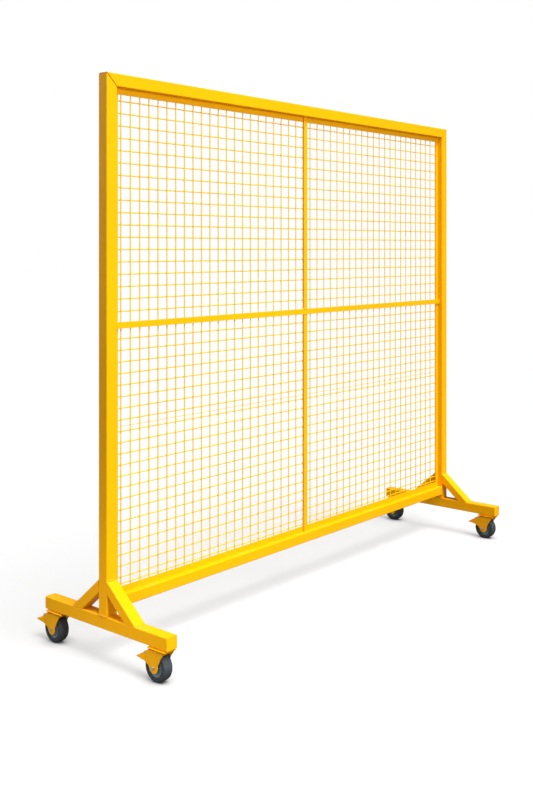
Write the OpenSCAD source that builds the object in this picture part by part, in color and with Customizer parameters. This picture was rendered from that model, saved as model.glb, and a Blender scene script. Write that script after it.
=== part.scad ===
// Mobile wire-mesh welding screen: a square-tube frame filled with welded mesh, standing on two
// braced feet, each with two braked swivel casters.
// +X along the width of the screen, +Y to the rear, +Z up. Z = 0 is the floor, and the origin is
// under the middle of the whole object.

/* [Frame] */
// Width over the two posts
frame_w = 2400; // [1500:50:3000]
// Height of the top rail above the floor
overall_h = 2250; // [1700:10:2600]
// Side of the square tube of the frame and the feet
tube = 50; // [50:1:60]
// Wall of every tube
tube_wall = 2.5; // [1.5:0.5:3]
// Outside corner radius of the tubes
tube_r = 4; // [3:0.5:6]
// Depth of the bottom rail, top to bottom
rail_h = 45; // [30:1:60]
// Gap between the feet and the bottom rail
rail_gap = 19; // [5:1:60]

/* [Feet] */
// Length of one foot, front to rear
foot_l = 720; // [660:10:1000]
// Height of the underside of the feet above the floor
foot_z = 129; // [128:1:132]
// Thickness of the plates that close the ends of the feet
cap_t = 3; // [2:0.5:5]
// How far a brace reaches along the foot
brace_run = 162; // [120:1:180]
// How far a brace reaches up the post
brace_rise = 135; // [120:1:180]
// Depth of a brace's tube
brace_depth = 40; // [30:1:45]

/* [Mesh and bars] */
// Width of the flat bars that carry the mesh
edge_bar_w = 25; // [20:1:40]
// Thickness of the flat bars that carry the mesh
edge_bar_t = 4; // [3:0.5:6]
// Width of the crossing bars in front of the mesh
cross_bar_w = 25; // [20:1:40]
// Thickness of the crossing bars
cross_bar_t = 8; // [5:1:10]
// Height of the middle of the horizontal cross bar
cross_bar_z = 1281; // [1200:1:1300]
// Distance of the vertical cross bar from the middle of the screen, to the left
cross_bar_shift = 11; // [0:1:20]
// Diameter of the mesh wire
wire_d = 5; // [2.5:0.5:5]
// Number of vertical wires
columns = 45; // [20:1:60]
// How much wider the cells are at the middle of the sheet than at its sides, as a fraction
mesh_stretch = 0.045; // [0:0.005:0.08]
// Spacing of the rows in the upper sheet
upper_pitch = 48; // [40:0.5:48]
// Spacing of the rows in the middle sheet
middle_pitch = 45; // [40:0.5:45]
// Spacing of the rows in the lower sheet
lower_pitch = 43.6; // [40:0.1:43.6]

/* [Casters] */
// Diameter of a wheel
wheel_d = 110; // [104:1:110]
// Width of a wheel
wheel_w = 42; // [36:1:42]
// How far a wheel trails behind its swivel axis
trail = 14; // [12:1:18]
// Distance of a swivel axis from the end of its foot
swivel_inset = 56; // [52:1:70]
// Size of a caster's top plate across the foot
plate_w = 60; // [58:1:70]
// Size of a caster's top plate along the foot
plate_l = 96; // [80:1:100]

/* [Hidden] */
$fn = 64;
tiny = 0.02;
// Longer than any hole across a caster
through = 100;

// Positions along the depth. pedal_reach is how far a rear pedal sticks out behind its foot.
pedal_tip = 91;
pedal_reach = trail + pedal_tip - swivel_inset;
mid_y = -pedal_reach / 2;
foot_front = mid_y - foot_l / 2;
foot_rear = mid_y + foot_l / 2;

// Heights
foot_top = foot_z + tube;
rail_z0 = foot_top + rail_gap;
opening_z0 = rail_z0 + rail_h;
opening_z1 = overall_h - tube;
opening_h = opening_z1 - opening_z0;

// Widths
opening_w = frame_w - 2 * tube;
post_x = (frame_w - tube) / 2;
cross_bar_x = -cross_bar_shift;

// Layers of the infill, from the front to the rear: cross bars, then edge bars and upright wires,
// then the wires that run across
edge_bar_setback = 1;
edge_bar_y = mid_y + edge_bar_setback;
cross_bar_y = edge_bar_y - tiny - cross_bar_t;
column_y = edge_bar_y + wire_d / 2;
row_y = max(column_y + wire_d / 2, edge_bar_y + edge_bar_t) + wire_d / 2 + tiny;

// Mesh: rows end behind the upright edge bars, and upright wires end against the level ones
wire_lap = 9;
wire_x = opening_w / 2 - edge_bar_w + wire_lap;
wire_end = 10;
first_column_gap = 16;
last_column_gap = 53;
first_row_gap = 24;
middle_row_gap = 53;
lap_gap = 19;
bottom_row_gap = 8;
column_span = opening_w - 2 * edge_bar_w - first_column_gap - last_column_gap;
column_pitch = column_span / (columns - 1);
column_x0 = -opening_w / 2 + edge_bar_w + first_column_gap;
upper_z = opening_z1 - edge_bar_w - first_row_gap;
upper_rows = floor((upper_z - cross_bar_z) / upper_pitch) + 1;
middle_z = cross_bar_z - middle_row_gap;
middle_rows = 9;
middle_last_z = middle_z - (middle_rows - 1) * middle_pitch;
middle_end_z = middle_last_z - wire_end;
lower_z = middle_last_z - lower_pitch;
lower_end_z = opening_z0 + edge_bar_w + tiny;
bottom_row_z = opening_z0 + edge_bar_w + bottom_row_gap;
lower_rows = floor((lower_z - bottom_row_z - 2 * wire_d) / lower_pitch) + 1;
lap_wire_z = middle_last_z + lap_gap;
lap_wire_d = 2.5;

// Braces
brace_angle = atan(brace_rise / brace_run);
brace_len = sqrt(pow(brace_run, 2) + pow(brace_rise, 2));

// Caster, in its own frame: the swivel axis at X = Y = 0 and the floor at Z = 0
wheel_r = wheel_d / 2;
pad_t = 4;
pad_w = 40;
pad_l = 80;
plate_t = 4;
plate_r = 6;
plate_z = foot_z - pad_t - plate_t;
crown_t = 3;
crown_top = 116.4;
crown_z = crown_top - crown_t;
crown_y0 = -54;
crown_y1 = 30;
leg_t = 3;
leg_gap = 48;
fork_half = leg_gap / 2 + leg_t;
axle_r = 4;
sleeve_r = 6.5;
kingpin_r = 5;
kingpin_head_r = 9;
kingpin_head_t = 2;
ball_gap = 0.1;
ball_r = (plate_z - crown_top) / 2 - ball_gap;
ball_ring_r = 19;
balls = 12;
run_gap = 0.05;
hub_r = 36;
shoulder_r = 9;
pin_r = 3;
pin_y = 43;
pin_z = 47;
barrel_r = 6.5;

// The four corners: name, side in X, side in Y
CORNERS = [
    ["left_front", -1, -1],
    ["left_rear", -1, 1],
    ["right_front", 1, -1],
    ["right_rear", 1, 1]
];
CASTER_NODES = [
    "top_plate", "kingpin", "fork", "axle_bolt", "axle_sleeve",
    "wheel_hub", "tyre", "brake_pedal", "brake_pin"
];
FRAME_NODES = [
    "left_post", "right_post", "top_rail", "bottom_rail", "left_foot", "right_foot",
    "foot_end_caps", "top_edge_bar", "bottom_edge_bar", "left_edge_bar", "right_edge_bar",
    "horizontal_cross_bar", "upper_cross_bar", "lower_cross_bar",
    "upper_mesh_sheet", "middle_mesh_sheet", "lower_mesh_sheet",
    "mounting_pads", "swivel_balls"
];

// ---------------------------------------------------------------- tubes

module rounded_rectangle(w, d, r) {
    square([w - 2 * r, d], center = true);
    square([w, d - 2 * r], center = true);
    for (sx = [-1, 1]) for (sy = [-1, 1])
        translate([sx * (w / 2 - r), sy * (d / 2 - r)]) circle(r);
}

module tube_section(w, d) {
    difference() {
        rounded_rectangle(w, d, tube_r);
        rounded_rectangle(w - 2 * tube_wall, d - 2 * tube_wall, tube_r / 2);
    }
}

// The space above the mitre line that runs inwards and down from the top left corner
module above_left_mitre() {
    translate([-frame_w / 2, mid_y, overall_h]) rotate([0, 45, 0])
        translate([-tube, -tube, 0]) cube([3 * tube, 2 * tube, 3 * tube]);
}

module below_left_mitre() {
    translate([-frame_w / 2, mid_y, overall_h]) rotate([0, 45, 0])
        translate([-tube, -tube, -3 * tube]) cube([4 * tube, 2 * tube, 3 * tube]);
}

module left_post() {
    color("gold") difference() {
        translate([-post_x, mid_y, foot_top])
            linear_extrude(overall_h - foot_top) tube_section(tube, tube);
        above_left_mitre();
    }
}

module right_post() {
    mirror([1, 0, 0]) left_post();
}

module top_rail() {
    color("gold") difference() {
        translate([0, mid_y, overall_h - tube / 2]) rotate([0, 90, 0])
            linear_extrude(frame_w, center = true) tube_section(tube, tube);
        below_left_mitre();
        mirror([1, 0, 0]) below_left_mitre();
    }
}

module bottom_rail() {
    color("gold") translate([0, mid_y, rail_z0 + rail_h / 2]) rotate([0, 90, 0])
        linear_extrude(opening_w, center = true) tube_section(rail_h, tube);
}

// ---------------------------------------------------------------- feet

module foot(side) {
    color("gold") translate([side * post_x, mid_y, foot_z + tube / 2]) rotate([90, 0, 0])
        linear_extrude(foot_l - 2 * cap_t, center = true) tube_section(tube, tube);
}

module foot_end_caps() {
    color("gold") for (c = CORNERS)
        translate([c[1] * post_x, mid_y + c[2] * (foot_l - cap_t) / 2, foot_z + tube / 2])
            rotate([90, 0, 0]) linear_extrude(cap_t, center = true)
                rounded_rectangle(tube, tube, tube_r);
}

// A sloping tube, cut square to the post's face and to the foot's top. Its outer face runs from
// brace_rise up the post to brace_run along the foot.
module rear_brace() {
    inset = brace_depth / 2;
    middle = [
        0,
        brace_run / 2 - inset * brace_rise / brace_len,
        brace_rise / 2 - inset * brace_run / brace_len
    ];
    intersection() {
        translate(middle) rotate([-90 - brace_angle, 0, 0])
            linear_extrude(2 * brace_len, center = true) tube_section(tube, brace_depth);
        translate([-tube, 0, 0]) cube([2 * tube, brace_run + tube, brace_rise + tube]);
    }
}

module brace(c) {
    color("gold") translate([c[1] * post_x, mid_y + c[2] * tube / 2, foot_top])
        mirror([0, c[2] < 0 ? 1 : 0, 0]) rear_brace();
}

// ---------------------------------------------------------------- infill

module top_edge_bar() {
    color("gold") translate([-opening_w / 2, edge_bar_y, opening_z1 - edge_bar_w])
        cube([opening_w, edge_bar_t, edge_bar_w]);
}

module bottom_edge_bar() {
    color("gold") translate([-opening_w / 2, edge_bar_y, opening_z0])
        cube([opening_w, edge_bar_t, edge_bar_w]);
}

// An upright edge bar against one post
module side_edge_bar(side) {
    color("gold") translate([
        side * (opening_w - edge_bar_w) / 2 - edge_bar_w / 2, edge_bar_y, opening_z0 + edge_bar_w
    ])
        cube([edge_bar_w, edge_bar_t, opening_h - 2 * edge_bar_w]);
}

module horizontal_cross_bar() {
    color("gold") translate([-opening_w / 2, cross_bar_y, cross_bar_z - cross_bar_w / 2])
        cube([opening_w, cross_bar_t, cross_bar_w]);
}

// A vertical bar between two heights
module upright_bar(z0, z1) {
    color("gold") translate([cross_bar_x - cross_bar_w / 2, cross_bar_y, z0])
        cube([cross_bar_w, cross_bar_t, z1 - z0]);
}

// Cells are narrower near the sides of the screen and wider in the middle
function column_x(i) = column_x0 + column_pitch * (
    i - mesh_stretch * (columns - 1) / 360 * (180 / PI) * sin(360 * i / (columns - 1))
);

module row_wire(z, d = wire_d) {
    translate([0, row_y, z]) rotate([0, 90, 0]) cylinder(h = 2 * wire_x, d = d, center = true);
}

module column_wires(z0, z1) {
    for (i = [0 : columns - 1])
        translate([column_x(i), column_y, z0]) cylinder(h = z1 - z0, d = wire_d);
}

module upper_mesh_sheet() {
    color("orange") {
        column_wires(cross_bar_z, opening_z1 - edge_bar_w - tiny);
        for (i = [0 : upper_rows - 1]) row_wire(upper_z - i * upper_pitch);
    }
}

module middle_mesh_sheet() {
    color("orange") {
        column_wires(middle_end_z, cross_bar_z - tiny);
        for (i = [0 : middle_rows - 1]) row_wire(middle_z - i * middle_pitch);
    }
}

// The lower sheet's loose top wire laps over the sheet above it
module lower_mesh_sheet() {
    color("orange") {
        column_wires(lower_end_z, middle_end_z - tiny);
        for (i = [0 : lower_rows - 1]) row_wire(lower_z - i * lower_pitch);
        row_wire(bottom_row_z);
        row_wire(lap_wire_z, lap_wire_d);
    }
}

// ---------------------------------------------------------------- casters

// Puts a caster's piece at one corner
module at_corner(c) {
    translate([c[1] * post_x, mid_y + c[2] * (foot_l / 2 - swivel_inset), 0]) children();
}

// Puts a piece at the wheel's axle
module at_axle() {
    translate([0, trail, wheel_r]) children();
}

// A solid of revolution about the wheel's axle, from a section drawn as radius by width
module about_axle() {
    at_axle() rotate([0, 90, 0]) rotate_extrude() children();
}

// A hole or shaft across the caster, through a point given from the axle
module across(y, z, r, w) {
    at_axle() translate([0, y, z]) rotate([0, 90, 0]) cylinder(h = w, r = r, center = true);
}

module mounting_pads() {
    color("gold") for (c = CORNERS) at_corner(c)
        translate([-pad_w / 2, -pad_l / 2, foot_z - pad_t]) cube([pad_w, pad_l, pad_t]);
}

// Balls between the top plate and the fork's crown
module swivel_balls() {
    color("silver") for (c = CORNERS) at_corner(c) for (i = [0 : balls - 1])
        rotate([0, 0, 360 * i / balls])
            translate([ball_ring_r, 0, (plate_z + crown_top) / 2]) sphere(ball_r);
}

// Plate welded under the foot, with a skirt round the ball race
module top_plate() {
    skirt_r = 27;
    skirt_t = 3;
    skirt_gap = 0.8;
    skirt_z = crown_top + skirt_gap;
    color("gold") {
        translate([0, 0, plate_z]) linear_extrude(plate_t) difference() {
            rounded_rectangle(plate_w, plate_l, plate_r);
            circle(kingpin_r + tiny);
        }
        translate([0, 0, skirt_z]) linear_extrude(plate_z - skirt_z) difference() {
            circle(skirt_r);
            circle(skirt_r - skirt_t);
        }
    }
}

// Rivet that holds the fork to the plate
module kingpin() {
    head_gap = 0.3;
    head_top = crown_z - head_gap;
    color("silver") {
        translate([0, 0, head_top]) cylinder(h = plate_z + plate_t - head_top, r = kingpin_r);
        translate([0, 0, head_top - kingpin_head_t])
            cylinder(h = kingpin_head_t, r = kingpin_head_r);
    }
}

// One side of the fork, drawn from the axle: rear to the right, up to the top
module leg_outline() {
    top = crown_top - wheel_r;
    leg_end_r = 21;
    circle(leg_end_r);
    polygon([
        [-20.4, 5], [-26, 18], [-38, 40], [crown_y0, top], [crown_y1, top], [34, 54], [48, 54],
        [54, 48], [57, 40], [57, 26], [54, 17.5], [28, 5], [20.4, -5]
    ]);
}

module fork() {
    color("gold") {
        difference() {
            union() {
                for (x = [-fork_half, leg_gap / 2]) at_axle() translate([x, 0, 0])
                    rotate([90, 0, 90]) linear_extrude(leg_t) leg_outline();
                translate([-fork_half, trail + crown_y0, crown_z])
                    cube([2 * fork_half, crown_y1 - crown_y0, crown_t]);
            }
            across(0, 0, axle_r + tiny, through);
            across(pin_y, pin_z, pin_r + tiny, through);
            translate([0, 0, crown_z - 1]) cylinder(h = crown_t + 2, r = kingpin_r + run_gap);
        }
    }
}

// Bolt across the fork, with its head to the left and a nut to the right
module axle_bolt() {
    head_r = 6.8;
    head_t = 5.5;
    color("silver") {
        across(0, 0, axle_r, 2 * (fork_half + head_t));
        for (x = [-fork_half - head_t, fork_half]) at_axle() translate([x, 0, 0])
            rotate([0, 90, 0]) cylinder(h = head_t, r = head_r, $fn = 6);
    }
}

// Tube on the bolt, clamped between the fork's legs, on which the hub turns
module axle_sleeve() {
    color("silver") difference() {
        across(0, 0, sleeve_r, leg_gap - 2 * tiny);
        across(0, 0, axle_r + tiny, through);
    }
}

module wheel_hub() {
    bore_r = sleeve_r + run_gap;
    boss_r = 14;
    boss_w = 46;
    web_t = 30;
    rim_w = 36;
    rim_t = 4;
    color("slategray") about_axle() {
        translate([bore_r, -boss_w / 2]) square([boss_r - bore_r, boss_w]);
        translate([bore_r, -web_t / 2]) square([hub_r - bore_r, web_t]);
        translate([hub_r - rim_t, -rim_w / 2]) square([rim_t, rim_w]);
    }
}

module tyre() {
    tread_half = wheel_w / 2 - shoulder_r;
    shoulder = wheel_r - shoulder_r;
    color("dimgray") about_axle() {
        translate([hub_r, -wheel_w / 2]) square([shoulder - hub_r, wheel_w]);
        translate([hub_r, -tread_half]) square([wheel_r - hub_r, 2 * tread_half]);
        for (s = [-1, 1]) translate([shoulder, s * tread_half]) circle(shoulder_r);
    }
}

// Section of the pedal's arm, drawn from its pin: rear to the right, up to the top. The short leg
// that points down is the brake shoe.
module pedal_arm_section() {
    circle(barrel_r);
    polygon([
        [-3, 5.5], [2, 6.5], [23, -12], [21, -16], [9, -6], [6.5, -14.6], [2.5, -11.2], [-2, -4]
    ]);
}

// Section of the sloping sheet that is trodden on
module pedal_tread_section() {
    polygon([[19.5, -13.5], [45, -18.5], [48, -20.5], [46.5, -22], [44.5, -21.5], [19.5, -16.5]]);
}

// Side of the pedal, which laps outside the fork's leg
module pedal_side_section() {
    polygon([[2, -10], [45, -18.5], [48, -20.5], [46, -23], [13, -29], [2, -27]]);
}

module brake_pedal() {
    arm_w = leg_gap - 4;
    side_gap = 0.5;
    side_t = 2.5;
    side_x = fork_half + side_gap;
    color("gold") difference() {
        at_axle() translate([0, pin_y, pin_z]) rotate([90, 0, 90]) {
            linear_extrude(arm_w, center = true) pedal_arm_section();
            linear_extrude(2 * (side_x + side_t), center = true) pedal_tread_section();
            for (z = [-side_x - side_t, side_x])
                translate([0, 0, z]) linear_extrude(side_t) pedal_side_section();
        }
        across(pin_y, pin_z, pin_r + run_gap, through);
    }
}

module brake_pin() {
    color("silver") across(pin_y, pin_z, pin_r, 2 * fork_half + 1);
}

// ---------------------------------------------------------------- parts

left_post();
right_post();
top_rail();
bottom_rail();
foot(-1);  // left_foot
foot(1);  // right_foot
foot_end_caps();
top_edge_bar();
bottom_edge_bar();
side_edge_bar(-1);  // left_edge_bar
side_edge_bar(1);  // right_edge_bar
horizontal_cross_bar();
upright_bar(cross_bar_z + cross_bar_w / 2, opening_z1);  // upper_cross_bar
upright_bar(opening_z0, cross_bar_z - cross_bar_w / 2);  // lower_cross_bar
upper_mesh_sheet();
middle_mesh_sheet();
lower_mesh_sheet();
mounting_pads();
swivel_balls();
for (c = CORNERS) {
    brace(c);
    at_corner(c) top_plate();
    at_corner(c) kingpin();
    at_corner(c) fork();
    at_corner(c) axle_bolt();
    at_corner(c) axle_sleeve();
    at_corner(c) wheel_hub();
    at_corner(c) tyre();
    at_corner(c) brake_pedal();
    at_corner(c) brake_pin();
}
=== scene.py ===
import math
import random

import bmesh
import bpy
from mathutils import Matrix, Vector


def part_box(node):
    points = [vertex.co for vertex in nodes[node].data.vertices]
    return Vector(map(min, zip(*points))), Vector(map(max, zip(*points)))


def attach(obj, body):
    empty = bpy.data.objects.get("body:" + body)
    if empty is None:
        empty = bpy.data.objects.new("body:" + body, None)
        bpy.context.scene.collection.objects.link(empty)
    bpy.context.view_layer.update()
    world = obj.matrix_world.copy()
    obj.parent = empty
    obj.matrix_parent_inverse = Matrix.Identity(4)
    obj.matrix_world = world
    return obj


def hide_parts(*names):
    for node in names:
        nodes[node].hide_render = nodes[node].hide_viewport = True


# The mobile wire-mesh screen's looks: rounded sheet-metal casters, wires with their spot welds, weld
# beads along the joints, enamel, zinc, plastic and rubber. Metres, in the CAD model's own frame.

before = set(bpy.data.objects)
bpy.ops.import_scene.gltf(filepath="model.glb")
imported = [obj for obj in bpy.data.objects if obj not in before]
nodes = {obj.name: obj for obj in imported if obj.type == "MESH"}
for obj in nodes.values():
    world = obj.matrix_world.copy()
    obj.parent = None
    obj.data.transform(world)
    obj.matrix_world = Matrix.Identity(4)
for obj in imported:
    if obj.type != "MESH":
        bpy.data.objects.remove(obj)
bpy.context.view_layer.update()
random.seed(7)
MM = 0.001
SAME_POINT = 1e-6
# How far each mitre at the top is open, on the left and on the right
MITRE_GAPS = {-1: 3.2 * MM, 1: 1.4 * MM}
# From one ripple of a hand-run weld bead to the next
BEAD_PITCH = 2.6 * MM
WIRE_SIDES = 10
NUGGET_SIDES = 8
BEAD_SIDES = 10
SCREEN = "screen"
CORNERS = ("left_front", "left_rear", "right_front", "right_rear")
SHEETS = ("upper_mesh_sheet", "middle_mesh_sheet", "lower_mesh_sheet")
EDGE_BARS = ("top_edge_bar", "bottom_edge_bar", "left_edge_bar", "right_edge_bar")
CROSS_BARS = ("horizontal_cross_bar", "upper_cross_bar", "lower_cross_bar")


# ------------------------------------------------------------------------------------------ scene

def add_camera():
    """Level view from the front left, at the height of a standing person's eyes."""
    data = bpy.data.cameras.new("camera")
    data.lens = 45.75
    data.sensor_width = 36
    data.shift_x = -0.0919
    data.shift_y = -0.1898
    data.clip_end = 200
    camera = bpy.data.objects.new("camera", data)
    camera.location = (-3.678, -3.1335, 1.580)
    camera.rotation_euler = (math.radians(90), 0, math.radians(-51.70))
    bpy.context.scene.collection.objects.link(camera)
    bpy.context.scene.camera = camera


def add_sun(name, direction, angle, level):
    """An even soft box, far off in a direction. Level is how bright it makes a white card that faces it."""
    data = bpy.data.lights.new(name, "SUN")
    data.angle = math.radians(angle)
    data.energy = level * math.pi
    light = bpy.data.objects.new(name, data)
    towards = Vector(direction).normalized()
    light.location = towards * 6
    light.rotation_euler = towards.to_track_quat("Z", "Y").to_euler()
    bpy.context.scene.collection.objects.link(light)


def add_panel(name, place, target, size, level, spread=180):
    """A soft box in the room. Level is how bright it makes a white card at the target that faces it, at
    full spread."""
    data = bpy.data.lights.new(name, "AREA")
    data.size = size
    data.spread = math.radians(spread)
    place, target = Vector(place), Vector(target)
    data.energy = level * (math.pi * (place - target).length) ** 2
    light = bpy.data.objects.new(name, data)
    light.location = place
    light.rotation_euler = (place - target).to_track_quat("Z", "Y").to_euler()
    light.visible_camera = False
    bpy.context.scene.collection.objects.link(light)


def add_world(strength, seen):
    """A dim white room, which the camera sees as a white backdrop."""
    world = bpy.data.worlds.new("studio")
    bpy.context.scene.world = world
    world.use_nodes = True
    tree = world.node_tree
    background = tree.nodes["Background"]
    background.inputs["Color"].default_value = (1, 1, 1, 1)
    path = tree.nodes.new("ShaderNodeLightPath")
    level = tree.nodes.new("ShaderNodeMapRange")
    level.inputs["To Min"].default_value = strength
    level.inputs["To Max"].default_value = seen
    tree.links.new(path.outputs["Is Camera Ray"], level.inputs["Value"])
    tree.links.new(level.outputs["Result"], background.inputs["Strength"])


def add_floor(tone, bounce, glow):
    """A pale floor. Its glow lifts what the camera sees to white and lights nothing; an ambient-occlusion
    mask dims the glow where something touches it, a painted contact shadow. The floor gives the object less
    light back than it shows."""
    mesh = bpy.data.meshes.new("floor")
    size = 60
    corners = [(-size, -size, 0), (size, -size, 0), (size, size, 0), (-size, size, 0)]
    mesh.from_pydata(corners, [], [(0, 1, 2, 3)])
    floor = bpy.data.objects.new("floor", mesh)
    bpy.context.scene.collection.objects.link(floor)
    material = bpy.data.materials.new("floor")
    material.use_nodes = True
    tree = material.node_tree
    shader = tree.nodes["Principled BSDF"]
    shader.inputs["Roughness"].default_value = 1
    shader.inputs["Specular IOR Level"].default_value = 0
    shader.inputs["Emission Color"].default_value = (1, 1, 1, 1)
    path = tree.nodes.new("ShaderNodeLightPath")
    # Painted contact shadow: ambient occlusion dims the floor's glow near the wheels and feet that touch it
    near = tree.nodes.new("ShaderNodeAmbientOcclusion")
    near.samples = 8
    near.inputs["Distance"].default_value = 0.09
    glow_with_painted_shadow = tree.nodes.new("ShaderNodeMapRange")
    glow_with_painted_shadow.inputs["From Min"].default_value = 0.25
    glow_with_painted_shadow.inputs["From Max"].default_value = 0.85
    glow_with_painted_shadow.inputs["To Max"].default_value = glow
    tree.links.new(near.outputs["AO"], glow_with_painted_shadow.inputs["Value"])
    level = tree.nodes.new("ShaderNodeMath")
    level.operation = "MULTIPLY"
    tree.links.new(path.outputs["Is Camera Ray"], level.inputs[0])
    tree.links.new(glow_with_painted_shadow.outputs["Result"], level.inputs[1])
    tree.links.new(level.outputs["Value"], shader.inputs["Emission Strength"])
    shown = tree.nodes.new("ShaderNodeMix")
    shown.data_type = "RGBA"
    shown.inputs["A"].default_value = (bounce, bounce, bounce, 1)
    shown.inputs["B"].default_value = (tone, tone, tone, 1)
    tree.links.new(path.outputs["Is Camera Ray"], shown.inputs["Factor"])
    tree.links.new(shown.outputs["Result"], shader.inputs["Base Color"])
    mesh.materials.append(material)


def set_stage():
    """Backdrop, floor and lights."""
    bpy.context.scene.view_settings.view_transform = "Standard"
    add_world(strength=0.21, seen=1.0)
    add_floor(tone=0.25, bounce=0.17, glow=0.58)
    add_sun("key", (-0.05, -0.48, 0.875), 30, 1.55)
    add_panel("front_panel", (-0.8, -4.0, 2.7), (-0.8, 0, 2.0), 1.8, 0.60)
    add_sun("rear_fill", (-0.35, 0.85, 0.40), 60, 0.38)
    add_panel("low_panel", (-2.9, -0.9, 0.6), (-1.2, -0.1, 0.06), 0.5, 0.022, 40)


# -------------------------------------------------------------------------------------- materials

class Material:
    """A Principled material with its colour, roughness and bump worked out by nodes."""

    def __init__(self, name, roughness, metallic=0.0, specular=0.5):
        self.data = bpy.data.materials.new(name)
        self.data.use_nodes = True
        self.tree = self.data.node_tree
        self.shader = self.tree.nodes["Principled BSDF"]
        self.shader.inputs["Roughness"].default_value = roughness
        self.shader.inputs["Metallic"].default_value = metallic
        self.shader.inputs["Specular IOR Level"].default_value = specular
        self.place = self.tree.nodes.new("ShaderNodeTexCoord").outputs["Object"]
        self.normal = None

    def node(self, kind, **settings):
        made = self.tree.nodes.new(kind)
        for key, value in settings.items():
            setattr(made, key, value)
        return made

    def link(self, a, b):
        self.tree.links.new(a, b)

    def stretch(self, scale):
        """The surface's own coordinates, scaled along each axis."""
        mapping = self.node("ShaderNodeMapping")
        mapping.inputs["Scale"].default_value = scale
        self.link(self.place, mapping.inputs["Vector"])
        return mapping.outputs["Vector"]

    def noise(self, scale, detail=3.0, rough=0.5, place=None):
        made = self.node("ShaderNodeTexNoise")
        made.inputs["Scale"].default_value = scale
        made.inputs["Detail"].default_value = detail
        made.inputs["Roughness"].default_value = rough
        self.link(place or self.place, made.inputs["Vector"])
        return made.outputs["Fac"]

    def ramp(self, value, low, high, to_low=0.0, to_high=1.0):
        made = self.node("ShaderNodeMapRange")
        for key, number in (("From Min", low), ("From Max", high), ("To Min", to_low), ("To Max", to_high)):
            made.inputs[key].default_value = number
        self.link(value, made.inputs["Value"])
        return made.outputs["Result"]

    def math(self, operation, a, b):
        made = self.node("ShaderNodeMath", operation=operation)
        for socket, value in zip(made.inputs, (a, b)):
            if isinstance(value, (int, float)):
                socket.default_value = value
            else:
                self.link(value, socket)
        return made.outputs["Value"]

    def mix(self, factor, a, b):
        made = self.node("ShaderNodeMix", data_type="RGBA")
        self.link(factor, made.inputs["Factor"])
        for socket, value in ((made.inputs["A"], a), (made.inputs["B"], b)):
            if isinstance(value, tuple):
                socket.default_value = (*value, 1)
            else:
                self.link(value, socket)
        return made.outputs["Result"]

    def height(self):
        """Height above the floor."""
        split = self.node("ShaderNodeSeparateXYZ")
        self.link(self.place, split.inputs["Vector"])
        return split.outputs["Z"]

    def facing(self, axis):
        """How far the surface faces along an axis: 1 straight along it, -1 straight against it."""
        geometry = self.node("ShaderNodeNewGeometry")
        split = self.node("ShaderNodeSeparateXYZ")
        self.link(geometry.outputs["Normal"], split.inputs["Vector"])
        return split.outputs[axis]

    def edges(self, radius):
        """1 on sharp outer and inner edges, 0 on flat faces."""
        bevel = self.node("ShaderNodeBevel", samples=4)
        bevel.inputs["Radius"].default_value = radius
        geometry = self.node("ShaderNodeNewGeometry")
        dot = self.node("ShaderNodeVectorMath", operation="DOT_PRODUCT")
        self.link(bevel.outputs["Normal"], dot.inputs[0])
        self.link(geometry.outputs["Normal"], dot.inputs[1])
        return self.ramp(dot.outputs["Value"], 0.995, 0.80)

    def bump(self, height, distance, strength=1.0):
        made = self.node("ShaderNodeBump")
        made.inputs["Strength"].default_value = strength
        made.inputs["Distance"].default_value = distance
        self.link(height, made.inputs["Height"])
        if self.normal:
            self.link(self.normal, made.inputs["Normal"])
        self.normal = made.outputs["Normal"]
        self.link(self.normal, self.shader.inputs["Normal"])

    def colour(self, value):
        self.link(value, self.shader.inputs["Base Color"])

    def roughness(self, value):
        self.link(value, self.shader.inputs["Roughness"])


def enamel(name, base, deep, gloss, peel, wear):
    """Brushed-on yellow enamel over steel: cloudy in colour, darker where it is thin on the edges, with
    orange peel, a little dust on what faces up and scuffs near the floor."""
    thin_coat, dust, scuffed = (0.52, 0.19, 0.004), (0.80, 0.62, 0.25), (0.20, 0.12, 0.03)
    m = Material(name, gloss, specular=0.08)
    clouds = m.ramp(m.noise(2.2, 4), 0.35, 0.68)
    patches = m.ramp(m.noise(26, 3), 0.42, 0.70, 0, 0.45)
    tone = m.mix(clouds, base, deep)
    tone = m.mix(patches, tone, tuple(0.93 * c for c in base))
    thin = m.math("MULTIPLY", m.edges(1.2 * MM), m.ramp(m.noise(55, 4, 0.7), 0.40, 0.62, 0, wear))
    tone = m.mix(thin, tone, thin_coat)
    level = m.ramp(m.facing("Z"), 0.75, 1.0)
    dusty = m.math("MULTIPLY", level, m.ramp(m.noise(9, 5, 0.6), 0.52, 0.85, 0, 0.16))
    tone = m.mix(dusty, tone, dust)
    low = m.ramp(m.height(), 0.20, 0.06, 0, 1)
    scuffs = m.math("MULTIPLY", low, m.ramp(m.noise(75, 5, 0.65), 0.56, 0.70, 0, 0.35))
    tone = m.mix(scuffs, tone, scuffed)
    m.colour(tone)
    m.roughness(m.ramp(m.noise(18, 3), 0.3, 0.7, gloss - 0.06, gloss + 0.10))
    m.bump(m.noise(420, 2), peel * MM, 0.55)
    m.bump(m.noise(60, 2), 2.2 * peel * MM, 0.35)
    return m.data


def weld_enamel():
    """The same enamel over a weld bead, with spatter pits."""
    m = Material("weld_enamel", 0.36, specular=0.25)
    tone = m.mix(m.ramp(m.noise(90, 4), 0.38, 0.66), (0.90, 0.42, 0.004), (0.74, 0.29, 0.003))
    m.colour(tone)
    m.roughness(m.ramp(m.noise(130, 3), 0.3, 0.7, 0.30, 0.48))
    m.bump(m.noise(900, 3), 0.25 * MM, 0.6)
    return m.data


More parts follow.
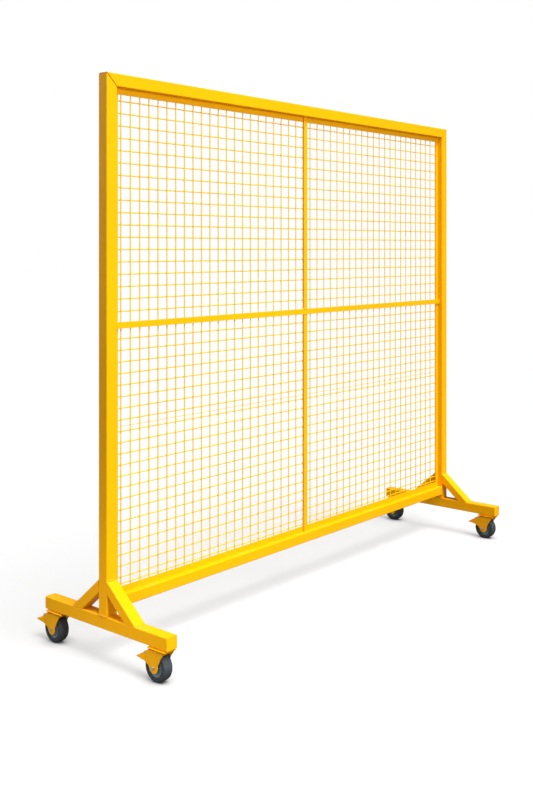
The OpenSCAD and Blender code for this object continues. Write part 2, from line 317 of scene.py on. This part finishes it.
def zinc():
    """Zinc plate: fine turning marks, cloudy passivation and dull spots."""
    m = Material("zinc_plate", 0.34, metallic=1.0)
    tone = m.mix(m.ramp(m.noise(160, 4), 0.35, 0.7), (0.58, 0.60, 0.62), (0.74, 0.75, 0.76))
    spots = m.ramp(m.noise(480, 3), 0.60, 0.72, 0, 0.5)
    m.colour(m.mix(spots, tone, (0.36, 0.35, 0.33)))
    m.roughness(m.ramp(m.noise(240, 4), 0.3, 0.7, 0.24, 0.46))
    m.bump(m.noise(1800, 2, place=m.stretch((4, 1, 1))), 0.05 * MM, 0.4)
    return m.data


def hub_plastic():
    """Blue-grey moulded nylon with faint flow marks and dust."""
    m = Material("hub_plastic", 0.48)
    tone = m.mix(m.ramp(m.noise(140, 4), 0.35, 0.7), (0.105, 0.155, 0.180), (0.135, 0.190, 0.215))
    dust = m.ramp(m.noise(60, 5, 0.7), 0.55, 0.80, 0, 0.35)
    m.colour(m.mix(dust, tone, (0.20, 0.24, 0.26)))
    m.roughness(m.ramp(m.noise(300, 3), 0.3, 0.7, 0.40, 0.60))
    m.bump(m.noise(1500, 2), 0.08 * MM, 0.5)
    return m.data


def tyre_rubber():
    """Dark grey rubber, dustier on the tread than on the side walls."""
    m = Material("tyre_rubber", 0.66, specular=0.28)
    tone = m.mix(m.ramp(m.noise(120, 4), 0.35, 0.7), (0.030, 0.035, 0.042), (0.050, 0.057, 0.064))
    side = m.math("ABSOLUTE", m.facing("X"), 0)
    tread = m.ramp(side, 0.75, 0.25, 0, 1)
    grit = m.math("MULTIPLY", tread, m.ramp(m.noise(210, 5, 0.7), 0.40, 0.72, 0.10, 0.60))
    m.colour(m.mix(grit, tone, (0.066, 0.080, 0.082)))
    m.roughness(m.ramp(m.noise(260, 4), 0.3, 0.7, 0.52, 0.78))
    m.bump(m.noise(1300, 3), 0.12 * MM, 0.7)
    return m.data


def make_materials():
    base, deep = (0.93, 0.440, 0.0015), (0.90, 0.405, 0.0015)
    return {
        "frame_paint": enamel("frame_enamel", base, deep, 0.34, 0.10, 0.75),
        "mesh_paint": enamel("mesh_enamel", (0.95, 0.55, 0.003), (0.92, 0.49, 0.003), 0.40, 0.06, 0.0),
        "caster_paint": enamel("caster_enamel", (0.90, 0.42, 0.003), (0.84, 0.36, 0.003), 0.36, 0.07, 0.9),
        "weld": weld_enamel(),
        "zinc": zinc(),
        "hub_plastic": hub_plastic(),
        "tyre_rubber": tyre_rubber(),
    }


# --------------------------------------------------------------------------------------- geometry

def set_material(thing, material):
    thing.data.materials.clear()
    thing.data.materials.append(material)


def flatten_shading(piece):
    """Keeps a broad face's shading flat up to the small rounds beside it."""
    weigh = piece.modifiers.new("flat_faces", "WEIGHTED_NORMAL")
    weigh.keep_sharp = True
    weigh.weight = 100


def add_piece(name, mesh, slot, body, replaced=()):
    """Adds a finished mesh as a piece that rides on a body."""
    piece = bpy.data.objects.new(name, mesh)
    bpy.context.scene.collection.objects.link(piece)
    set_material(piece, materials["weld" if name.startswith("weld") else slot])
    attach(piece, body)
    if replaced:
        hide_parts(*replaced)
    return piece


def shade(mesh, angle=32):
    """Smooth faces, with creases where they meet at more than an angle."""
    bm = bmesh.new()
    bm.from_mesh(mesh)
    limit = math.radians(angle)
    for face in bm.faces:
        face.smooth = True
    for edge in bm.edges:
        edge.smooth = len(edge.link_faces) == 2 and edge.calc_face_angle(0) < limit
    bm.to_mesh(mesh)
    bm.free()


def rounded_copy(node, radius, segments):
    """A CAD node's solid with its sharp edges rounded."""
    bm = bmesh.new()
    bm.from_mesh(nodes[node].data)
    bmesh.ops.remove_doubles(bm, verts=bm.verts, dist=SAME_POINT)
    bmesh.ops.dissolve_limit(bm, angle_limit=math.radians(0.5), verts=bm.verts, edges=bm.edges)
    sharp = [e for e in bm.edges if len(e.link_faces) == 2 and e.calc_face_angle(0) > math.radians(30)]
    bmesh.ops.bevel(bm, geom=sharp, offset=radius, segments=segments, profile=0.5, affect="EDGES",
                    clamp_overlap=False)
    bmesh.ops.triangulate(bm, faces=bm.faces)
    mesh = bpy.data.meshes.new(node + "_finished")
    bm.to_mesh(mesh)
    bm.free()
    shade(mesh)
    return mesh


def replace_rounded(node, slot, body, radius, segments=2):
    piece = add_piece(node + "_finished", rounded_copy(node, radius, segments), slot, body, [node])
    flatten_shading(piece)


def replace_tube(node, change=None):
    """A tube with its CAD surface. Its points are moved by change, if given."""
    bm = bmesh.new()
    bm.from_mesh(nodes[node].data)
    bmesh.ops.remove_doubles(bm, verts=bm.verts, dist=SAME_POINT)
    for vert in bm.verts if change else ():
        change(vert)
    piece = add_piece(node + "_finished", finish_bmesh(bm, node + "_finished"), "frame_paint", SCREEN, [node])
    flatten_shading(piece)


def ring(centre, axis_u, axis_v, radius_u, radius_v, count):
    """Points of an ellipse round a centre."""
    made = []
    for k in range(count):
        turn = 2 * math.pi * k / count
        made.append(centre + axis_u * (radius_u * math.cos(turn)) + axis_v * (radius_v * math.sin(turn)))
    return made


def skin(bm, rings):
    """Joins rings of points into one closed tube."""
    made = [[bm.verts.new(p) for p in points] for points in rings]
    count = len(made[0])
    for a, b in zip(made, made[1:]):
        for k in range(count):
            bm.faces.new((a[k], a[(k + 1) % count], b[(k + 1) % count], b[k]))
    bm.faces.new(made[0][::-1])
    bm.faces.new(made[-1])


def finish_bmesh(bm, name, angle=32):
    bmesh.ops.recalc_face_normals(bm, faces=bm.faces)
    mesh = bpy.data.meshes.new(name)
    bm.to_mesh(mesh)
    bm.free()
    shade(mesh, angle)
    return mesh


def revolved(name, profile, centre, count, ripple=None):
    """A closed solid turned about an axis along X, from (radius, x) points in order. A ripple, if given,
    adds to the radius."""
    bm = bmesh.new()
    loops = []
    for radius, x in profile:
        loop = []
        for k in range(count):
            turn = 2 * math.pi * k / count
            r = radius + (ripple(radius, turn) if ripple else 0)
            y, z = r * math.sin(turn), r * math.cos(turn)
            loop.append(bm.verts.new((centre[0] + x, centre[1] + y, centre[2] + z)))
        loops.append(loop)
    for a, b in zip(loops, loops[1:] + loops[:1]):
        for k in range(count):
            bm.faces.new((a[k], a[(k + 1) % count], b[(k + 1) % count], b[k]))
    return finish_bmesh(bm, name)


def arc(centre, radius, start, end, steps):
    """(radius, x) points of an arc, with its angles measured from the outward direction."""
    made = []
    for k in range(steps + 1):
        turn = math.radians(start + (end - start) * k / steps)
        made.append((centre[0] + radius * math.cos(turn), centre[1] + radius * math.sin(turn)))
    return made


# ------------------------------------------------------------------------------------------- mesh

def wires_of(node):
    """Each wire of a CAD mesh sheet as (its axis, its lowest corner, its highest corner)."""
    mesh = nodes[node].data
    bm = bmesh.new()
    bm.from_mesh(mesh)
    bmesh.ops.remove_doubles(bm, verts=bm.verts, dist=SAME_POINT)
    seen = set()
    found = []
    for first in bm.verts:
        if first in seen:
            continue
        island, queue = [], [first]
        seen.add(first)
        while queue:
            vert = queue.pop()
            island.append(vert.co.copy())
            for edge in vert.link_edges:
                other = edge.other_vert(vert)
                if other not in seen:
                    seen.add(other)
                    queue.append(other)
        low = Vector([min(p[i] for p in island) for i in range(3)])
        high = Vector([max(p[i] for p in island) for i in range(3)])
        found.append((0 if high.x - low.x > high.z - low.z else 2, low, high))
    bm.free()
    return found


def add_wire(bm, axis, low, high, crossings):
    """A drawn wire with sheared ends, swelling slightly where it is welded to the wires that it crosses."""
    radius = (high.y - low.y) / 2
    middle = (low + high) / 2
    across = Vector((0, 0, 1)) if axis == 0 else Vector((1, 0, 0))
    depth = Vector((0, 1, 0))
    swell = 1.6 * radius
    stops = [(low[axis], 0.55), (low[axis] + 0.5 * radius, 1.0)]
    for place in crossings:
        stops += [(place - swell, 1.0), (place, 1.16), (place + swell, 1.0)]
    stops += [(high[axis] - 0.5 * radius, 1.0), (high[axis], 0.55)]
    stops.sort()
    rings = []
    for place, grow in stops:
        centre = middle.copy()
        centre[axis] = place
        flat = 2 - grow if grow > 1 else grow
        rings.append(ring(centre, across, depth, radius * grow, radius * flat, WIRE_SIDES))
    skin(bm, rings)


def add_nugget(bm, centre, radius):
    """The squeezed metal of one spot weld: a flat, slightly uneven bead between two wires."""
    spin = random.uniform(0, math.pi)
    u = Vector((math.cos(spin), 0, math.sin(spin)))
    v = Vector((-math.sin(spin), 0, math.cos(spin)))
    wide = radius * random.uniform(1.15, 1.35)
    tall = radius * random.uniform(0.62, 0.75)
    rings = []
    for level, share in ((-1, 0.25), (-0.55, 0.86), (0, 1), (0.55, 0.86), (1, 0.25)):
        middle = centre + Vector((0, level * tall, 0))
        rings.append(ring(middle, u, v, wide * share, wide * share * 0.9, NUGGET_SIDES))
    skin(bm, rings)


def places_crossed(wire, others):
    """Where a wire is crossed by the others, apart from its very ends."""
    end_margin = 5 * MM
    axis, low, high = wire
    cross = 2 - axis
    here = (low[cross] + high[cross]) / 2
    places = set()
    for _, other_low, other_high in others:
        place = (other_low[axis] + other_high[axis]) / 2
        within = low[axis] + end_margin < place < high[axis] - end_margin
        if within and other_low[cross] < here < other_high[cross]:
            places.add(round(place, 5))
    return sorted(places)


def finish_sheets():
    wires = {node: wires_of(node) for node in SHEETS}
    rows = [w for node in SHEETS for w in wires[node] if w[0] == 0]
    columns = [w for node in SHEETS for w in wires[node] if w[0] == 2]
    for node in SHEETS:
        bm = bmesh.new()
        for wire in wires[node]:
            axis, low, high = wire
            crossings = places_crossed(wire, columns if axis == 0 else rows)
            add_wire(bm, axis, low, high, crossings)
            if axis == 0:
                for x in crossings:
                    add_nugget(bm, Vector((x, low.y, (low.z + high.z) / 2)), (high.z - low.z) / 2)
        add_piece(node + "_welded", finish_bmesh(bm, node + "_welded", 50), "mesh_paint", SCREEN, [node])


# ------------------------------------------------------------------------------------------ welds

def skin_bead(bm, start, end, radius):
    """A weld bead between two points: a tube with the ripple of a hand-run weld."""
    start, end = Vector(start), Vector(end)
    along = (end - start).normalized()
    side = along.orthogonal().normalized()
    up = along.cross(side)
    length = (end - start).length
    steps = max(6, int(length / BEAD_PITCH) * 3)
    wave = random.uniform(0, 6)
    rings = []
    for k in range(steps + 1):
        t = k / steps
        taper = min(1.0, 0.45 + 6 * min(t, 1 - t))
        ripple = 1 + 0.13 * math.sin(2 * math.pi * t * length / BEAD_PITCH)
        size = radius * taper * ripple * (1 + 0.10 * math.sin(wave + t * length / (17 * MM)))
        centre = start.lerp(end, t) + side * (0.10 * radius * math.sin(wave + t * 40))
        rings.append(ring(centre, side, up, size, size, BEAD_SIDES))
    skin(bm, rings)


def add_beads(name, lines, radius):
    """Several beads as one piece."""
    bm = bmesh.new()
    for start, end in lines:
        skin_bead(bm, start, end, radius)
    add_piece(name, finish_bmesh(bm, name, 60), "frame_paint", SCREEN)


def square_outline(low, high, level):
    """The four sides of a level rectangle, as pairs of points."""
    x0, x1, y0, y1 = low.x, high.x, low.y, high.y
    corners = [(x0, y0, level), (x1, y0, level), (x1, y1, level), (x0, y1, level)]
    return [(corners[k], corners[(k + 1) % 4]) for k in range(4)]


def weld_frame():
    post_corner = 4 * MM
    bite = 0.5 * MM
    seam = 0.6 * MM
    for side, sign in (("left", -1), ("right", 1)):
        low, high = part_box(side + "_post")
        outline = square_outline(low, high, low.z + seam)
        add_beads(f"weld_{side}_post_foot", outline, radius=2.4 * MM)
        # Bottom rail against the post: two upright beads and one above and below
        rail_low, rail_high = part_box("bottom_rail")
        x = rail_low.x if sign < 0 else rail_high.x
        y0, y1 = rail_low.y, rail_high.y
        z0, z1 = rail_low.z, rail_high.z
        lines = [((x, y0 + bite, z0 + post_corner), (x, y0 + bite, z1 - post_corner)),
                 ((x, y1 - bite, z0 + post_corner), (x, y1 - bite, z1 - post_corner)),
                 ((x, y0 + post_corner, z1), (x, y1 - post_corner, z1)),
                 ((x, y0 + post_corner, z0), (x, y1 - post_corner, z0))]
        add_beads(f"weld_{side}_bottom_rail", lines, radius=2.2 * MM)
        for end in ("front", "rear"):
            weld_brace(f"{side}_{end}", -1 if end == "front" else 1)


def weld_brace(corner, sign):
    low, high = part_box(corner + "_brace")
    near = high.y if sign < 0 else low.y
    tip = low.y if sign < 0 else high.y
    inset = 5 * MM
    lines = [((low.x + inset, near, high.z), (high.x - inset, near, high.z)),
             ((low.x + inset, tip, low.z), (high.x - inset, tip, low.z))]
    add_beads(f"weld_{corner}_brace", lines, radius=2.6 * MM)


def weld_infill():
    """Short stitches along the edge bars, and lumps where the cross bars meet the frame and each other."""
    top_low, top_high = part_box("top_edge_bar")
    low_low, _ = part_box("bottom_edge_bar")
    left_low, left_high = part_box("left_edge_bar")
    right_low, right_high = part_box("right_edge_bar")
    lines = []
    stitches, half = 9, 14 * MM
    for k in range(stitches):
        x = top_low.x + (k + 0.5) / stitches * (top_high.x - top_low.x)
        lines.append(((x - half, top_low.y, top_high.z), (x + half, top_low.y, top_high.z)))
        lines.append(((x - half, low_low.y, low_low.z), (x + half, low_low.y, low_low.z)))
        z = left_low.z + (k + 0.5) / stitches * (left_high.z - left_low.z)
        lines.append(((left_low.x, left_low.y, z - half), (left_low.x, left_low.y, z + half)))
        lines.append(((right_high.x, right_low.y, z - half), (right_high.x, right_low.y, z + half)))
    add_beads("weld_edge_bar_stitches", lines, radius=1.8 * MM)

    bar_low, bar_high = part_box("horizontal_cross_bar")
    up_low, up_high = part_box("upper_cross_bar")
    down_low, down_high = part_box("lower_cross_bar")
    lines = []
    for x in (bar_low.x, bar_high.x):
        lines.append(((x, bar_low.y, bar_low.z + MM), (x, bar_low.y, bar_high.z - MM)))
        lines.append(((x, bar_high.y, bar_low.z + MM), (x, bar_high.y, bar_high.z - MM)))
    for low, high, z in ((up_low, up_high, bar_high.z), (up_low, up_high, up_high.z),
                         (down_low, down_high, bar_low.z), (down_low, down_high, down_low.z)):
        lines.append(((low.x + MM, low.y, z), (high.x - MM, low.y, z)))
        lines.append(((low.x, low.y + MM, z), (low.x, high.y - MM, z)))
        lines.append(((high.x, low.y + MM, z), (high.x, high.y - MM, z)))
    add_beads("weld_cross_bars", lines, radius=2.3 * MM)


def weld_feet():
    """The closing plates' ground-down beads and the beads that hold each caster under its foot."""
    edge = 5 * MM
    pad_seam = 1.5 * MM
    bead_shift = 24 * MM
    half_bead = 9 * MM
    for side in ("left", "right"):
        low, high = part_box(side + "_foot")
        lines = []
        for y in (low.y, high.y):
            lines.append(((low.x + edge, y, high.z), (high.x - edge, y, high.z)))
            lines.append(((low.x, y, low.z + edge), (low.x, y, high.z - edge)))
            lines.append(((high.x, y, low.z + edge), (high.x, y, high.z - edge)))
        add_beads(f"weld_{side}_foot_caps", lines, radius=0.9 * MM)
        for end in ("front", "rear"):
            plate_low, plate_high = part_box(f"{side}_{end}_top_plate")
            middle_y = (plate_low.y + plate_high.y) / 2
            seam_z = plate_high.z + pad_seam
            lines = []
            for x in (low.x + edge, high.x - edge):
                for shift in (-bead_shift, bead_shift):
                    y = middle_y + shift
                    lines.append(((x, y - half_bead, seam_z), (x, y + half_bead, seam_z)))
            add_beads(f"weld_{side}_{end}_pad", lines, radius=1.7 * MM)


# ------------------------------------------------------------------------------------------ frame

def finish_frame():
    """The tubes keep their CAD shape, but the two mitres at the top are open by a hair."""
    _, rail_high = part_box("top_rail")
    left_low, left_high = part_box("left_post")
    tube = left_high.x - left_low.x
    hair = 1e-5
    start = rail_high.z - tube - hair

    def lower_post_end(vert):
        if vert.co.z > start:
            vert.co.z -= MITRE_GAPS[math.copysign(1, vert.co.x)]

    def shorten_rail(vert):
        side = math.copysign(1, vert.co.x)
        vert.co.x -= side * MITRE_GAPS[side] / 2

    for node in ("left_post", "right_post"):
        replace_tube(node, lower_post_end)
    replace_tube("top_rail", shorten_rail)
    for node in ("bottom_rail", "left_foot", "right_foot"):
        replace_tube(node)
    for corner in CORNERS:
        replace_rounded(corner + "_brace", "frame_paint", SCREEN, 0.35 * MM, 1)
    for node in EDGE_BARS:
        replace_rounded(node, "frame_paint", SCREEN, 0.5 * MM)
    for node in CROSS_BARS:
        replace_rounded(node, "frame_paint", SCREEN, 0.9 * MM)
    replace_rounded("foot_end_caps", "frame_paint", SCREEN, 0.8 * MM)
    replace_rounded("mounting_pads", "frame_paint", SCREEN, 0.4 * MM)


# ---------------------------------------------------------------------------------------- casters

def finish_tyre(corner):
    """A moulded tyre: a tread between two shoulders, a parting line round it and a rib on each wall."""
    low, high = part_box(corner + "_tyre")
    centre = (low + high) / 2
    outer, half = (high.z - low.z) / 2, (high.x - low.x) / 2
    hub_low, hub_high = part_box(corner + "_wheel_hub")
    inner = (hub_high.z - hub_low.z) / 2
    shoulder = 9 * MM
    flank = half - 0.9 * MM
    right = [(inner, flank), (inner + 2 * MM, flank), (inner + 2.8 * MM, half - 0.1 * MM),
             (inner + 5.2 * MM, half - 0.1 * MM), (inner + 6 * MM, flank), (outer - shoulder - 2 * MM, flank)]
    right += arc((outer - shoulder, half - shoulder), shoulder, 84, 8, 9)
    right += [(outer, 4.2 * MM), (outer - 0.05 * MM, 0.9 * MM), (outer - 0.7 * MM, 0.45 * MM)]
    profile = right + [(r, -x) for r, x in reversed(right)]

    def worn(radius, turn):
        """Three shallow flats round the tread."""
        return min(0, 0.12 * MM * math.sin(3 * turn)) if radius > outer - 2 * MM else 0

    mesh = revolved(corner + "_tyre_moulded", profile, centre, count=120, ripple=worn)
    add_piece(corner + "_tyre_moulded", mesh, "tyre_rubber", corner + "_wheel", [corner + "_tyre"])


def finish_hub(corner):
    """A moulded hub: rim, dished web with a raised ring, and boss."""
    low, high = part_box(corner + "_wheel_hub")
    centre = (low + high) / 2
    outer, boss_half = (high.z - low.z) / 2, (high.x - low.x) / 2
    sleeve_low, sleeve_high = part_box(corner + "_axle_sleeve")
    tyre_low, tyre_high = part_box(corner + "_tyre")
    bore = (sleeve_high.z - sleeve_low.z) / 2 + 0.05 * MM
    boss, rim = 14 * MM, outer - 3.5 * MM
    rim_half = (tyre_high.x - tyre_low.x) / 2 - 3 * MM
    web = rim_half - 3.4 * MM
    right = [(bore, boss_half - 0.8 * MM), (bore + 0.8 * MM, boss_half), (boss - 1 * MM, boss_half),
             (boss, boss_half - 1 * MM), (boss + 1.2 * MM, web + 1.5 * MM), (boss + 3 * MM, web),
             (boss + 6 * MM, web), (boss + 6.6 * MM, web + 1.2 * MM), (boss + 8.6 * MM, web + 1.2 * MM),
             (boss + 9.2 * MM, web), (rim - 1.5 * MM, web + 0.4 * MM), (rim, rim_half - 1 * MM),
             (rim + 1 * MM, rim_half), (outer, rim_half)]
    profile = right + [(r, -x) for r, x in reversed(right)]
    mesh = revolved(corner + "_hub_moulded", profile, centre, count=96)
    add_piece(corner + "_hub_moulded", mesh, "hub_plastic", corner + "_wheel", [corner + "_wheel_hub"])


def finish_casters():
    for corner in CORNERS:
        swivel = corner + "_swivel"
        finish_tyre(corner)
        finish_hub(corner)
        replace_rounded(corner + "_fork", "caster_paint", swivel, 0.7 * MM)
        replace_rounded(corner + "_brake_pedal", "caster_paint", corner + "_pedal", 0.6 * MM)
        replace_rounded(corner + "_top_plate", "caster_paint", SCREEN, 0.6 * MM)
        replace_rounded(corner + "_axle_bolt", "zinc", swivel, 0.6 * MM)
        replace_rounded(corner + "_brake_pin", "zinc", swivel, 0.5 * MM)
        replace_rounded(corner + "_kingpin", "zinc", SCREEN, 0.6 * MM)
        set_material(nodes[corner + "_axle_sleeve"], materials["zinc"])
    set_material(nodes["swivel_balls"], materials["zinc"])


add_camera()
set_stage()
materials = make_materials()
finish_frame()
finish_sheets()
weld_frame()
weld_infill()
weld_feet()
finish_casters()
